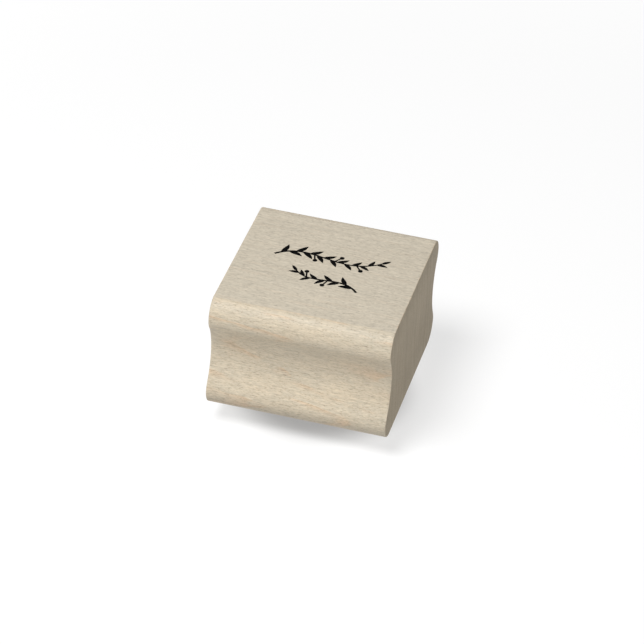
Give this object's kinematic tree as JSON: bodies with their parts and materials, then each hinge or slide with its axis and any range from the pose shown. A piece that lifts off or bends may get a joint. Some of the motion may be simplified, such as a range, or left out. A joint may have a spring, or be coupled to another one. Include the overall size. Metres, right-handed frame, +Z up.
{
  "type": "wood-mounted rubber stamp",
  "caption": "Wood-mounted rubber stamp: moulded maple block with finger grooves on a foam cushion and an engraved rubber die with a leafy sprig design.",
  "frame": {"origin": "middle of the printing face, which the stamp stands on", "axes": "+Z up through the block; X along the moulding that the block is sawn from; Y across it, through the two finger grooves, with -Y facing the user"},
  "size_m": [0.0376, 0.04, 0.0298],
  "materials": {
    "maple": "satin",
    "adhesive": "satin",
    "foam": "matte",
    "rubber": "matte",
    "ink": "matte"
  },
  "bodies": {
    "root": {"wood_block": "maple", "block_adhesive": "adhesive", "foam_cushion": "foam", "die_adhesive": "adhesive", "rubber_die": "rubber"}
  },
  "joints": []
}
